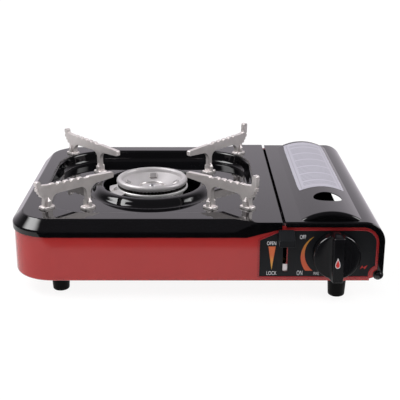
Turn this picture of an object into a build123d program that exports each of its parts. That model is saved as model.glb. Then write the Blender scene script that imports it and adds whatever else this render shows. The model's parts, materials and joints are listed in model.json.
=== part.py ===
from build123d import *
import os
from math import atan2, cos, degrees, hypot, radians, sin, sqrt

# Portable gas stove, millimetres, +Z up, front of the stove towards -Y.
# Driving sizes. Everything further down is worked out from these.
W = 345.0            # overall width, left skirt to lid side
BODY_D = 267.0       # depth of top plate and lid
KNOB_OUT = 20.0      # knob face in front of the plate edge
FOOT_H = 17.4        # rubber foot height
SHEET = 0.8          # body and lid sheet
PLATE_T = 1.0        # enamelled top plate
LID_GAP = 2.9        # open gap between plate and lid
BEVEL = 9.4          # sloping rim of the top plate
CORNER_R = 40.0      # plan corner of the top plate
PRESS_R = 2.4        # outer radius of a pressed edge
RIM_L = 23.0         # flat rim left of the recess, bevel included
RIM_R = 19.9         # and right of it
RIM_F = 28.5         # and in front of it
RIM_B = 26.5         # and behind it
REC_DEEP = 12.0      # depth of the recess in the plate
REC_R = 54.0         # plan corner of the recess
CUP_R = 37.0         # burner cup
DISH_DEEP = 7.2      # how far the cup's dish goes down to its hub
HOLE_GAP = 13.5      # open ring between the cup and the plate
COLLAR_H = 7.2       # raised collar round the burner hole
COLLAR_W = 14.5      # width of that collar
SUP_T = 4.5          # thickness of a pan support
SUP_PITCH = 8.15     # spacing of the bumps on top of it
DOME_H = 8.2         # arch of the lid over the cartridge
DOME_W = 55.0        # width of that arch
LID_R = 20.0         # rounded long edge of the lid
CAN_R = 33.5         # butane cartridge radius
KNOB_R = 21.4        # control knob
KNOB_THICK = 11.0    # thickness of its disc
FASCIA_T = 0.6       # control panel plate
FEED_PIPE_R = 3.0    # gas pipe between regulator and jet
FOOT_R = 8.3         # rubber foot

# Clearances and fits.
SKIRT_GAP = 0.5      # plate skirt to tray
RUN = 0.05           # running fit, radial
FIT = 0.03           # fixed fit, radial
FREE = 0.4           # free gap between moving pieces
PIN_HEAD = 1.4       # hinge pin head
PIN_FREE = 0.3       # hinge pin head to lid

XL = -W / 2
XR = W / 2
LID_W = 2 * CAN_R + 24.2
PLATE_W = W - LID_GAP - LID_W
BODY_H = 2 * CAN_R - 8.4
TOP_Z = FOOT_H + BODY_H
REAR_OUT = PIN_HEAD + PIN_FREE
Y0 = -(BODY_D + KNOB_OUT + REAR_OUT) / 2 + KNOB_OUT
Y1 = Y0 + BODY_D
FLOOR = FOOT_H
FLOOR_TOP = FLOOR + SHEET
PLATE_X1 = XL + PLATE_W
LID_X0 = PLATE_X1 + LID_GAP
INSET = PLATE_T + SKIRT_GAP
TX0 = XL + INSET
TY0 = Y0 + INSET
TY1 = Y1 - INSET
TX1 = XR - 12.5
SKIRT_Z = TOP_Z - 14.8
WALL_Z = TOP_Z - BEVEL - 0.9
REC_Z = TOP_Z - REC_DEEP
REC_W = PLATE_W - RIM_L - RIM_R
REC_D = BODY_D - RIM_F - RIM_B
CX = XL + RIM_L + REC_W / 2
CY = Y0 + RIM_F + REC_D / 2
HOLE_R = CUP_R + HOLE_GAP
COLLAR_R = HOLE_R + COLLAR_W
REC_CORNER = (min(REC_W, REC_D) / 2 - REC_R) * sqrt(2) + REC_R
SUP_FOOT_OUT = REC_CORNER + 9.0
SUP_FOOT_IN = COLLAR_R + 0.34 * (REC_CORNER - COLLAR_R)
RIM_SCREWS = (XL + 0.3025 * PLATE_W, XL + 0.761 * PLATE_W)
KX = XR - CAN_R - 11.5
KZ = FLOOR + 0.494 * BODY_H
PIV_X = XR - 4.8
PIV_Z = FLOOR + 7.4
DOME_Z = TOP_Z + DOME_H
DOME_X = KX - 4.0
CAN_Z = DOME_Z - SHEET - 2.4 - CAN_R
TAPER_X0 = PLATE_X1 - 42.4
TAPER_X1 = PLATE_X1 - 22.4
RAMP_X0 = PLATE_X1 - 31.6
RAMP_UP = 8.6
CHEEK_R = LID_R - SHEET - 2.8
CHEEK_Z = TOP_Z - LID_R + CHEEK_R
PART_X = PLATE_X1 - 4.4
LEV_X = LID_X0 + 0.6
LEV_Y = Y0 + 39.5
LEV_Z = FLOOR + 32.6
LEV_T = 2.0
LEV_TURN = 25.0
LEV_UP = 17.0
ARM_TILT = radians(LEV_TURN / 2 + 2.5)
ARM_W = 5.2
STRIP_X = LEV_X + LEV_T / 2 + 1.5
STRIP_Z0 = LEV_Z + 9.5
STRIP_Z1 = TOP_Z - 2.8
CAR_TRAVEL = 2 * LEV_UP * sin(radians(LEV_TURN / 2))
TUBE_Z = FLOOR + 28.0
PIPE_Z = FLOOR + 10.6
REG_X0 = STRIP_X + 8.5
REG_Y0 = Y0 + 15.5
REG_Y1 = REG_Y0 + 24.0
PIPE_Y = REG_Y0 + 13.5
JET_X = PART_X - 16.5
JET_R = hypot(JET_X - CX, PIPE_Y - CY)
TUBE_ANG = degrees(atan2(PIPE_Y - CY, JET_X - CX))
PORT_Z = REC_Z + 5.0
PORT_H = 3.0
HUB_Z = PORT_Z + PORT_H - DISH_DEEP - 2.8
LUG_T = 2.2
FLAP_ANG = 200.0
FLAP_R = CUP_R + 7.4
SPARK_R = CUP_R + 3.7
PANEL_Z0 = FLOOR + 5.8
PANEL_Z1 = TOP_Z - 8.4
FEET = [(XL + 44.5, Y0 + 26.0), (XR - 40.5, Y0 + 12.5),
        (XL + 44.5, Y1 - 24.0), (XR - 40.5, Y1 - 24.0)]


def block(x0, x1, y0, y1, z0, z1):
    c = Pos((x0 + x1) / 2, (y0 + y1) / 2, (z0 + z1) / 2)
    return c * Box(x1 - x0, y1 - y0, z1 - z0)


def rod_x(y, z, r, x0, x1):
    return Pos((x0 + x1) / 2, y, z) * Rot(0, 90, 0) * Cylinder(r, x1 - x0)


def rod_y(x, z, r, y0, y1):
    return Pos(x, (y0 + y1) / 2, z) * Rot(90, 0, 0) * Cylinder(r, y1 - y0)


def rod_z(x, y, r, z0, z1):
    return Pos(x, y, (z0 + z1) / 2) * Cylinder(r, z1 - z0)


def prism_y(shape, y0, y1):
    # shape is drawn in x and z
    at = Plane((0, y1, 0), x_dir=(1, 0, 0), z_dir=(0, -1, 0))
    return extrude(at * shape, amount=y1 - y0)


def prism_x(shape, x0, x1):
    # shape is drawn in y and z
    at = Plane((x0, 0, 0), x_dir=(0, 1, 0), z_dir=(1, 0, 0))
    return extrude(at * shape, amount=x1 - x0)


def poly(*pts):
    return make_face(Polyline(*pts, close=True))


def ring_solid(*pts):
    # turns an (r, z) outline round Z
    at = Plane.XZ
    return revolve(at * poly(*pts), axis=Axis.Z)


def at_burner(shape, turn=0.0):
    return Pos(CX, CY, 0) * Rot(0, 0, turn) * shape


def tray_block(inset, z0, z1, edge_r):
    x0 = TX0 + inset
    y0 = TY0 + inset
    y1 = TY1 - inset
    x1 = TX1 - inset
    plan = poly((x0, y0), (x1, y0), (x1, y1), (x0, y1))
    plan = fillet(plan.vertices().sort_by(Axis.X)[:2], CORNER_R - INSET - inset)
    body = extrude(Pos(0, 0, z0) * plan, amount=z1 - z0)
    low = body.faces().sort_by(Axis.Z)[0].edges()
    low = [e for e in low if e.center().X < x1 - 0.1]
    return fillet(low, edge_r)


def cheek_shape():
    # end wall of the cartridge bay, seen from the front
    cx = XR - LID_R
    cz = TOP_Z - LID_R
    right = cx + CHEEK_R
    line = [
        Line((RAMP_X0, FLOOR + 12), (RAMP_X0, WALL_Z)),
        Line((RAMP_X0, WALL_Z), (RAMP_X0 + 15, CHEEK_Z)),
        Line((RAMP_X0 + 15, CHEEK_Z), (cx, CHEEK_Z)),
        RadiusArc((cx, CHEEK_Z), (right, cz), CHEEK_R),
        Line((right, cz), (right, PIV_Z)),
        Line((right, PIV_Z), (PIV_X - 4, PIV_Z - 3.1)),
        Line((PIV_X - 4, PIV_Z - 3.1), (TX1, FLOOR + 3.1)),
        Line((TX1, FLOOR + 3.1), (TX1 - 20, FLOOR + 12)),
        Line((TX1 - 20, FLOOR + 12), (RAMP_X0, FLOOR + 12)),
    ]
    face = make_face(Curve() + line)
    ear = Pos(PIV_X, PIV_Z) * Circle(3.3)
    return face + ear


def panel_shape():
    x0 = PLATE_X1 - 19.8
    x1 = XR - 8.2
    face = poly((x0, PANEL_Z0), (x0, PANEL_Z1 - 9.4), (x0 + 20.1, PANEL_Z1),
                (x1, PANEL_Z1), (x1, PANEL_Z0))
    top_right = face.vertices().sort_by(Axis.X)[-2:].sort_by(Axis.Y)[-1]
    face = fillet(top_right, 12.0)
    return face - Pos(PIV_X, PIV_Z) * Circle(9.4)


def front_holes(y0, y1):
    cuts = rod_y(KX, KZ, 5.0, y0, y1)
    slot = block(LEV_X - 2.2, LEV_X + 2.2, y0, y1, LEV_Z - 22, LEV_Z + 14.5)
    return cuts + slot


def body_shell():
    tray = tray_block(0, FLOOR, WALL_Z, 3.0)
    tray -= tray_block(SHEET, FLOOR_TOP, WALL_Z + 5, 3.0 - SHEET)
    tray -= block(TX1 - 3, TX1 + 1, TY0 + 3, TY1 - 3, FLOOR + 6, WALL_Z + 1)
    cheek = cheek_shape()
    tray += prism_y(cheek, TY0, TY0 + SHEET)
    tray += prism_y(cheek, TY1 - SHEET, TY1)
    lip_w = block(RAMP_X0 + 16, XR - LID_R, TY0, TY0 + 6, CHEEK_Z - SHEET, CHEEK_Z)
    tray += lip_w
    tray += Pos(0, TY0 + TY1, 0) * mirror(lip_w, Plane.XZ)
    panel = panel_shape()
    bead = offset(panel, 1.65) - offset(panel, 0.15)
    bead = prism_y(bead, TY0 - 1.0, TY0)
    front = bead.faces().sort_by(Axis.Y)[0]
    tray += fillet(front.edges(), 0.45)
    tray -= front_holes(TY0 - 2, TY0 + 2)
    for y in (TY0, TY1):
        tray -= rod_y(PIV_X, PIV_Z, 2.0 + FIT, y - 2, y + 2)
    for x, y in FEET:
        tray -= rod_z(x, y, 2.0, FLOOR - 1, FLOOR + 3)
    half = cradle_half() + 2.0
    tray -= block(KX - half, KX + half, Y0 + 69, Y1 - 35.5, FLOOR - 1, FLOOR_TOP + 0.01)
    for x in RIM_SCREWS:
        tray -= rod_y(x, SKIRT_Z + 2.8, 1.1 + FIT, TY1 - 2, TY1 + 1)
    for i in range(9):
        x = CX - 60 + 15 * i
        tray -= block(x - 2.2, x + 2.2, TY1 - 3, TY1 + 1, FLOOR + 14, FLOOR + 26)
    for i in range(7):
        y = CY - 45 + 15 * i
        tray -= block(TX0 - 1, TX0 + 3, y - 2.2, y + 2.2, FLOOR + 14, FLOOR + 26)
    return tray


def cradle_half():
    drop = CAN_Z - FLOOR_TOP
    return sqrt((CAN_R + 1.1) ** 2 - drop ** 2)


def cartridge_cradle():
    r = CAN_R + 1.1
    y0 = Y0 + 70
    y1 = Y1 - 36.5
    half = cradle_half()
    trough = rod_y(KX, CAN_Z, r + SHEET, y0, y1) - rod_y(KX, CAN_Z, r, y0 - 1, y1 + 1)
    trough -= block(KX - 60, KX + 60, y0 - 1, y1 + 1, FLOOR_TOP, CAN_Z + 60)
    out = half + 7
    for s in (-1, 1):
        a = KX + s * half
        b = KX + s * out
        trough += block(min(a, b), max(a, b), y0, y1, FLOOR_TOP, FLOOR_TOP + SHEET)
    cap = rod_y(KX, CAN_Z, r + SHEET, y0, y0 + SHEET) + rod_y(KX, CAN_Z, r + SHEET, y1 - SHEET, y1)
    cap -= block(KX - 60, KX + 60, y0 - 1, y1 + 1, FLOOR_TOP, CAN_Z + 60)
    return trough + cap


def control_panel():
    plate = prism_y(panel_shape(), TY0 - FASCIA_T, TY0)
    return plate - front_holes(TY0 - 3, TY0 + 3)


def plate_solid(t, low):
    # solid under the upper face (t = 0) or the lower face (t = sheet) of the plate
    x0 = XL + t
    y0 = Y0 + t
    y1 = Y1 - t
    top = TOP_Z - t
    bev = BEVEL - 0.586 * t
    r = CORNER_R - t
    plan = poly((x0, y0), (TAPER_X0, y0), (TAPER_X0, y1), (x0, y1))
    plan = fillet(plan.vertices().sort_by(Axis.X)[:2], r)
    main = extrude(Pos(0, 0, low) * plan, amount=top - low)
    rim = main.faces().sort_by(Axis.Z)[-1].edges()
    rim = [e for e in rim if e.center().X < TAPER_X0 - 0.1]
    main = chamfer(rim, bev)
    soft = [e for e in main.edges() if min(abs(e.center().Z - top), abs(e.center().Z - top + bev)) < 0.01
            and e.center().X < TAPER_X0 - 0.1]
    main = fillet(soft, PRESS_R - t)
    strip = block(TAPER_X0, PLATE_X1 - t, y0, y1, low, top)
    for y, s in ((y0, 1), (y1, -1)):
        strip -= corner_cut(y, s, top, bev)
    return main + strip


def corner_cut(y, s, top, bev):
    a = (TAPER_X0, y, top - bev)
    b = (TAPER_X0, y + s * bev, top)
    c = (TAPER_X0, y, top)
    d = (TAPER_X1, y, top)
    sides = [(a, b, c), (a, b, d), (b, c, d), (a, c, d)]
    faces = [Face(Wire.make_polygon([Vector(*p) for p in f])) for f in sides]
    return Solid(Shell(faces))


def recess(t):
    # hollow of the recess, grown by t for the lower face of the sheet
    w = REC_W + 2 * t
    d = REC_D + 2 * t
    up = Pos(CX, CY, TOP_Z) * RectangleRounded(w, d, REC_R + t)
    down = Pos(CX, CY, REC_Z - t) * RectangleRounded(w - 6, d - 6, REC_R + t - 3)
    hollow = loft([up, down])
    low = hollow.faces().sort_by(Axis.Z)[0].edges()
    return fillet(low, 5.0 + t)


def collar(t):
    # rounded lip at the burner hole that runs out into the recess floor
    z = REC_Z - t
    top = z + COLLAR_H
    r = HOLE_R + t * 0.2
    out = r + COLLAR_W
    line = [
        Line((r, z - 2), (r, top - 1.2)),
        ThreePointArc((r, top - 1.2), (r + 0.6, top - 0.3), (r + 2.0, top)),
        Spline((r + 2.0, top), (r + 8.6, z + COLLAR_H * 0.56), (out, z), tangents=[(1, 0), (1, 0)]),
        Line((out, z), (out, z - 2)),
        Line((out, z - 2), (r, z - 2)),
    ]
    return at_burner(revolve(Plane.XZ * make_face(Curve() + line), axis=Axis.Z))


def plate_half(t, low):
    body = plate_solid(t, low) - recess(t)
    edge = [e for e in body.edges() if abs(e.center().Z - (TOP_Z - t)) < 0.02
            and abs(e.center().X - CX) < REC_W / 2 + 2 and abs(e.center().Y - CY) < REC_D / 2 + 2]
    body = fillet(edge, 2.8 - t)
    return body + collar(t)


def top_plate():
    upper = plate_half(0.0, SKIRT_Z)
    lower = plate_half(PLATE_T, SKIRT_Z - 6)
    plate = upper - lower
    plate -= rod_z(CX, CY, HOLE_R, SKIRT_Z - 10, TOP_Z)
    x1 = PLATE_X1 + 2
    up = RAMP_UP * (x1 - RAMP_X0) / (PLATE_X1 - RAMP_X0)
    ramp = poly((RAMP_X0, SKIRT_Z), (x1, SKIRT_Z + up), (x1, SKIRT_Z - 1), (RAMP_X0, SKIRT_Z - 1))
    for y in (Y0, Y1):
        plate -= prism_y(ramp, y - 1.5, y + 1.5)
    plate -= block(PLATE_X1 - PLATE_T - 0.01, PLATE_X1 + 1, Y0 + INSET - 0.4, Y1 - INSET + 0.4,
                   SKIRT_Z - 1, CHEEK_Z + 0.5)
    for x in RIM_SCREWS:
        plate -= rod_y(x, SKIRT_Z + 2.8, 1.1 + FIT, Y1 - 3, Y1 + 1)
    for turn in range(45, 360, 90):
        plate -= at_burner(rod_z(SUP_FOOT_IN, 0, 1.5, REC_Z - 3, REC_Z + 1), turn)
        plate -= at_burner(rod_z(SUP_FOOT_OUT, 0, 1.5, TOP_Z - 3, TOP_Z + 1), turn)
    return plate


def support_side(horn):
    # side view of a pan support: distance from the burner axis and height
    t = TOP_Z
    i = SUP_FOOT_IN
    o = SUP_FOOT_OUT
    tip = HOLE_R + 2.8
    bar = poly((tip, t + 13.2), (tip, t + 18.6), (i - 1.2, t + 20.7), (i - 0.4, t + 19.7),
               (o - 5.2, t + 21.5), (o - 4.4, t + 22.4), (o + 6.4, t + 23.7), (o + 7.0, t + horn),
               (o + 12.0, t + horn), (o + 11.6, t + 23.8), (o + 3.6, t + 11.2), (o + 4.6, t),
               (o - 4.8, t), (o - 4.8, t + 12.6), (i + 2.4, t + 12.2), (i + 2.4, REC_Z),
               (i - 2.4, REC_Z), (i - 2.4, t + 12.0))
    soft = {(o - 4.8, t + 12.6): 7.5, (i + 2.4, t + 12.2): 7.5, (i - 2.4, t + 12.0): 8.5,
            (tip, t + 18.6): 1.5, (tip, t + 13.2): 0.8, (o + 7.0, t + horn): 1.6, (o + 12.0, t + horn): 1.6,
            (i - 1.2, t + 20.7): 1.0, (o + 6.4, t + 23.7): 1.0}
    for (r, z), size in soft.items():
        near = bar.vertices().sort_by_distance((r, z, 0))[0]
        bar = fillet(near, size)
    for n in range(3):
        bar += Pos(o + 9.6 - 2.1 * n, t + 20.0 - 3.1 * n) * Rectangle(3.6, 3.1)
    count = int((o - i - 4.5) / SUP_PITCH)
    first = o - 7.4 - SUP_PITCH * (count - 1)
    for n in range(count):
        r = first + SUP_PITCH * n
        rise = t + 19.7 + 1.8 * (r - i) / (o - i - 4.8)
        bar += Pos(r, rise) * Rot(0, 0, 2.5) * RectangleRounded(SUP_PITCH - 2.3, 2.8, 1.2)
    return bar


def support_rib(r, z):
    # screw boss on both faces of a leg, with a pointed top
    half = SUP_T / 2 + 2.3
    low = z + 6.4
    across = poly((-half, z), (half, z), (half, low), (0, low + 8.5), (-half, low))
    along = poly((r - 1.9, z), (r + 1.9, z), (r + 1.9, low), (r, low + 4.2), (r - 1.9, low))
    return prism_x(across, r - 3, r + 3) & prism_y(along, -half, half)


def pan_support(turn, horn):
    bar = Pos(0, SUP_T / 2, 0) * extrude(Plane.XZ * support_side(horn), amount=SUP_T)
    for r, z in ((SUP_FOOT_IN, REC_Z), (SUP_FOOT_OUT, TOP_Z)):
        base = block(r - 6.9, r + 6.9, -4.8, 4.8, z, z + 2.6)
        base = fillet(base.edges().filter_by(Axis.Z), 2.2)
        base = fillet(base.faces().sort_by(Axis.Z)[-1].edges(), 1.2)
        bar += base + support_rib(r, z + 1)
        bar -= rod_z(r, 0, 1.3, z - 1, z + 7)
    return at_burner(bar, turn)


def support_screws():
    out = Part()
    for turn in range(45, 360, 90):
        for r, z in ((SUP_FOOT_IN, REC_Z), (SUP_FOOT_OUT, TOP_Z)):
            pin = rod_z(r, 0, 1.3 - FIT, z - PLATE_T - 1, z + 6)
            head = rod_z(r, 0, 3.2, z - PLATE_T - 2.4, z - PLATE_T)
            out += at_burner(pin + head, turn)
    return out


def plate_screws():
    out = Part()
    for x in RIM_SCREWS:
        z = SKIRT_Z + 2.8
        out += rod_y(x, z, 1.1, TY1 - 4, Y1)
        out += rod_y(x, z, 2.4, Y1, Y1 + 1.4)
    return out


def lid_outer(inset):
    # region under the outer skin of the lid, moved inwards by inset
    cx = XR - LID_R
    cz = TOP_Z - LID_R
    r = LID_R - inset
    line = [
        Line((LID_X0 + inset, PIV_Z), (LID_X0 + inset, TOP_Z - inset)),
        Line((LID_X0 + inset, TOP_Z - inset), (cx, TOP_Z - inset)),
        RadiusArc((cx, TOP_Z - inset), (cx + r, cz), r),
        Line((cx + r, cz), (cx + r, PIV_Z)),
        Line((cx + r, PIV_Z), (LID_X0 + inset, PIV_Z)),
    ]
    return make_face(Curve() + line)


def lid_block(inset):
    y0 = Y0 + inset
    y1 = Y1 - inset
    body = prism_y(lid_outer(inset), y0, y1)
    ends = [e for e in body.edges() if min(abs(e.center().Y - y0), abs(e.center().Y - y1)) < 0.01
            and e.center().Z > PIV_Z + 1 and e.center().X > LID_X0 + inset + 1]
    return fillet(ends, PRESS_R - 0.4 - inset)


def dome_solid(inset):
    w = DOME_W / 2
    rad = (w * w + DOME_H * DOME_H) / (2 * DOME_H)
    cz = DOME_Z - rad
    y0 = Y0 + 4.6 + inset
    y1 = Y1 - 11.0 - inset
    arch = rod_y(DOME_X, cz, rad - inset, y0, y1)
    arch -= block(DOME_X - 90, DOME_X + 90, y0 - 1, y1 + 1, cz - 90, TOP_Z - SHEET - 0.4)
    crown = [e for e in arch.edges() if e.center().Z > TOP_Z + 3 and abs(e.center().X - DOME_X) < 1]
    ends = [e for e in crown if abs(e.center().Y - y0) < 0.1 or abs(e.center().Y - y1) < 0.1]
    return fillet(ends, 3.4 - inset)


def lid():
    skin = lid_block(0) - lid_block(SHEET)
    skin -= block(LID_X0 - 1, LID_X0 + SHEET + 0.1, Y0 - 1, Y1 + 1, PIV_Z - 5, TOP_Z - 3.6)
    window = Pos(-0.9, 0) * lid_outer(4.8)
    cut = prism_y(window, Y0 - 1, Y1 + 1)
    cut += block(LID_X0 - 1, XR - LID_R, Y0 - 1, Y1 + 1, PIV_Z - 6, TOP_Z - 4.8)
    cut += block(LID_X0 - 1, XR - 5.7, Y0 - 1, Y1 + 1, PIV_Z - 6, PIV_Z + 2)
    skin -= cut
    for y in (Y0, Y1 - SHEET):
        skin += rod_y(PIV_X, PIV_Z, 4.8, y, y + SHEET)
    skin += dome_solid(0)
    skin -= dome_solid(SHEET)
    skin -= rod_z(KX - 2.0, Y0 + 50, 13.5, TOP_Z - 4, DOME_Z + 4)
    for y in (Y0, Y1):
        skin -= rod_y(PIV_X, PIV_Z, 2.0 + RUN, y - 2, y + 2)
    return skin


def hinge_pin(y_out, y_in, s):
    pin = rod_y(PIV_X, PIV_Z, 2.0, min(y_out, y_in), max(y_out, y_in))
    a = y_out - s * PIN_HEAD
    head = rod_y(PIV_X, PIV_Z, 3.6, min(a, y_out), max(a, y_out))
    return pin + head


def hinge_pin_front():
    return hinge_pin(Y0 - PIN_FREE, TY0 + 5, 1)


def hinge_pin_rear():
    return hinge_pin(Y1 + PIN_FREE, TY1 - 5, -1)


def knob():
    back = TY0 - FASCIA_T - 1.0
    face = Y0 - KNOB_OUT
    disc_y = back - KNOB_THICK
    disc = rod_y(KX, KZ, KNOB_R, disc_y, back)
    disc = fillet(disc.faces().sort_by(Axis.Y)[0].edges(), 1.4)
    bar = prism_z(poly((KX - 6.9, disc_y + 2), (KX - 4.7, face), (KX + 4.7, face), (KX + 6.9, disc_y + 2)),
                  KZ - KNOB_R + 0.2, KZ + KNOB_R - 0.2)
    tip = [e for e in bar.edges() if e.center().Y < disc_y - 2]
    bar = fillet(tip, 1.2)
    body = disc + bar
    return body - rod_y(KX, KZ, 4.0 + FIT, back - 11, back + 1)


def prism_z(shape, z0, z1):
    return extrude(Pos(0, 0, z0) * shape, amount=z1 - z0)


def valve_spindle():
    back = TY0 - FASCIA_T - 1.0
    return rod_y(KX, KZ, 4.0, back - 10.9, REG_Y0 + 12)


def igniter_cam():
    y0 = TY0 + SHEET + 2.5
    cam = rod_y(KX, KZ, 8.0, y0, y0 + 5)
    cam += prism_y(poly((KX - 8, KZ), (KX - 2, KZ + 11), (KX + 2, KZ + 11), (KX + 8, KZ)), y0, y0 + 5)
    return cam - rod_y(KX, KZ, 4.0 + FIT, y0 - 1, y0 + 6)


def lever_plate():
    y = LEV_Y
    z = LEV_Z
    hub = Pos(y, z) * Circle(6.5)
    tilt = radians(LEV_TURN / 2)
    uy = y + LEV_UP * sin(tilt)
    uz = z + LEV_UP * cos(tilt)
    up = poly((y - 4.5, z), (uy - 4.0, uz), (uy + 4.0, uz), (y + 4.5, z))
    shape = hub + arm_side() + up + Pos(uy, uz) * Circle(4.0)
    shape -= Pos(y, z) * Circle(2.5 + RUN)
    shape -= Pos(uy, uz) * Circle(1.5 + FIT)
    return prism_x(shape, LEV_X - LEV_T / 2, LEV_X + LEV_T / 2)


def lever_drive_pin():
    tilt = radians(LEV_TURN / 2)
    uy = LEV_Y + LEV_UP * sin(tilt)
    uz = LEV_Z + LEV_UP * cos(tilt)
    x0 = LEV_X - LEV_T / 2
    pin = rod_x(uy, uz, 1.5, x0, LEV_X + LEV_T / 2)
    return pin + rod_x(uy, uz, 2.0, LEV_X + LEV_T / 2, STRIP_X + 3.0)


def lever_cap():
    back = Y0 - 1.1
    front = back - 13.6
    z0 = LEV_Z + 7.4
    shape = poly((back, z0), (back, z0 + 11.9), (back - 2.4, z0 + 11.9), (front, z0 + 6.1), (front, z0))
    cap = prism_x(shape, LEV_X - 7.0, LEV_X + 7.0)
    edges = [e for e in cap.edges() if e.center().Y < back - 1]
    cap = fillet(edges, 0.7)
    grow = offset(arm_side(), 0.05)
    return cap - prism_x(grow, LEV_X - LEV_T / 2 - 0.05, LEV_X + LEV_T / 2 + 0.05)


def arm_side():
    # side view of the lever's arm, from its pivot to inside the cap
    reach = LEV_Y - Y0 + 11.0
    ey = LEV_Y - reach * cos(ARM_TILT)
    ez = LEV_Z + reach * sin(ARM_TILT)
    ny = ARM_W / 2 * sin(ARM_TILT)
    nz = ARM_W / 2 * cos(ARM_TILT)
    return poly((LEV_Y - ny, LEV_Z - nz), (ey - ny, ez - nz), (ey + ny, ez + nz),
                (LEV_Y + ny, LEV_Z + nz))


def lever_pivot_pin():
    x1 = LEV_X + LEV_T / 2 + FREE
    pin = rod_x(LEV_Y, LEV_Z, 2.5, PART_X + SHEET, x1)
    return pin + rod_x(LEV_Y, LEV_Z, 4.0, x1, x1 + 1.0)


def lever_bracket():
    x0 = PART_X + SHEET
    x1 = LEV_X - LEV_T / 2 - FREE
    foot = block(x0, x0 + 1.5, LEV_Y - 9, LEV_Y + 9, LEV_Z - 18, LEV_Z + 9)
    boss = rod_x(LEV_Y, LEV_Z, 6.0, x0, x1)
    return foot + boss - rod_x(LEV_Y, LEV_Z, 2.5 + FIT, x0 - 1, x1 + 1)


def stud_spots():
    z = (STRIP_Z0 + STRIP_Z1) / 2
    return [(Y0 + 84, z), (Y1 - 54, z)]


def cartridge_carriage():
    y0 = LEV_Y - 8
    y1 = Y1 - 15.5
    strip = block(STRIP_X, STRIP_X + 1.2, y0, y1, STRIP_Z0, STRIP_Z1)
    tilt = radians(LEV_TURN / 2)
    uy = LEV_Y + LEV_UP * sin(tilt)
    strip -= block(STRIP_X - 1, STRIP_X + 3, uy - 2.3, uy + 2.3, STRIP_Z0 + 2.5, STRIP_Z1 - 2.2)
    for y, z in stud_spots():
        strip -= block(STRIP_X - 1, STRIP_X + 3, y - 2.9, y + CAR_TRAVEL + 2.9, z - 2.9, z + 2.9)
    push = block(STRIP_X, KX + 22, y1 - 1.2, y1, CAN_Z - 18, STRIP_Z0 + 6)
    pad = rod_y(KX, CAN_Z, 15, y1 - 2.4, y1 - 1.2)
    return strip + push + pad


def carriage_studs():
    out = Part()
    for y, z in stud_spots():
        out += rod_x(y, z, 4.5, PART_X + SHEET, STRIP_X - FREE)
        out += rod_x(y, z, 2.5, STRIP_X - FREE, STRIP_X + 1.2 + FREE)
        out += rod_x(y, z, 4.5, STRIP_X + 1.2 + FREE, STRIP_X + 2.8 + FREE)
    return out


def partition_wall():
    z1 = TOP_Z - PLATE_T
    wall = block(PART_X, PART_X + SHEET, TY0 + 6.5, TY1 - 6.5, FLOOR_TOP, z1)
    wall += block(PART_X - 8, PART_X, TY0 + 10, TY1 - 10, FLOOR_TOP, FLOOR_TOP + SHEET)
    x0 = CX + REC_W / 2 + 5
    wall += block(x0, PART_X, TY0 + 14, TY1 - 14, z1 - SHEET, z1)
    wall -= rod_x(PIPE_Y, PIPE_Z, FEED_PIPE_R + 1.5, PART_X - 2, PART_X + 2)
    wall -= rod_x(lead_y(), lead_z(), 3.0, PART_X - 2, PART_X + 2)
    return wall


def burner_base():
    r = CUP_R + 0.3
    z = REC_Z
    lo = TUBE_Z - 12
    bowl = ring_solid((0, lo), (r - 11, lo), (r - 5, lo + 5), (r - 5, z - 1.6), (r - 0.6, z + 2.2),
                      (r, z + 2.7), (r, PORT_Z - 0.5), (r - 0.5, PORT_Z), (r - 3.2, PORT_Z),
                      (r - 7.5, z - 0.5), (r - 7.5, lo + 6.5), (r - 12, lo + 3), (0, lo + 3))
    bowl += rod_z(0, 0, 5.0, lo + 2, HUB_Z)
    boss = rod_x(0, TUBE_Z, 13.0, r - 7.4, r + 8)
    boss -= rod_z(0, 0, r - 6.5, lo - 5, lo + 40)
    bowl += boss
    bowl -= rod_x(0, TUBE_Z, 10.0 + FIT, r - 14, r + 20)
    bowl -= rod_z(0, 0, 2.0 + FIT, HUB_Z - 9, z + 9)
    return at_burner(bowl, TUBE_ANG)


def port_ring():
    z = PORT_Z
    r = CUP_R
    ring = ring_solid((r - 5.5, z), (r - 1.2, z), (r - 1.2, z + PORT_H), (r - 5.5, z + PORT_H))
    cuts = Part()
    for n in range(60):
        slot = block(r - 7, r + 1, -0.9, 0.9, z + 0.7, z + PORT_H + 1)
        cuts += Rot(0, 0, 6.0 * n) * slot
    return at_burner(ring - cuts)


def burner_cup():
    # rolled rim and sloping dish, down to the hub
    z = PORT_Z + PORT_H
    r = CUP_R
    hub = 0.4 * r
    low = z - DISH_DEEP
    line = [
        Line((r - 5.6, z), (r - 1.0, z)),
        ThreePointArc((r - 1.0, z), (r - 0.2, z + 3.2), (r - 2.9, z + 5.8)),
        ThreePointArc((r - 2.9, z + 5.8), (r - 4.8, z + 5.1), (r - 5.6, z + 3.2)),
        Line((r - 5.6, z + 3.2), (r - 5.9, z + 1.4)),
        Line((r - 5.9, z + 1.4), (hub + 0.9, low)),
        Line((hub + 0.9, low), (hub + 0.1, low)),
        Line((hub + 0.1, low), (hub + 0.1, low - 1.2)),
        Line((hub + 0.1, low - 1.2), (hub + 1.4, low - 1.2)),
        Line((hub + 1.4, low - 1.2), (r - 5.6, z - 0.4)),
        Line((r - 5.6, z - 0.4), (r - 5.6, z)),
    ]
    return at_burner(revolve(Plane.XZ * make_face(Curve() + line), axis=Axis.Z))


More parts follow.
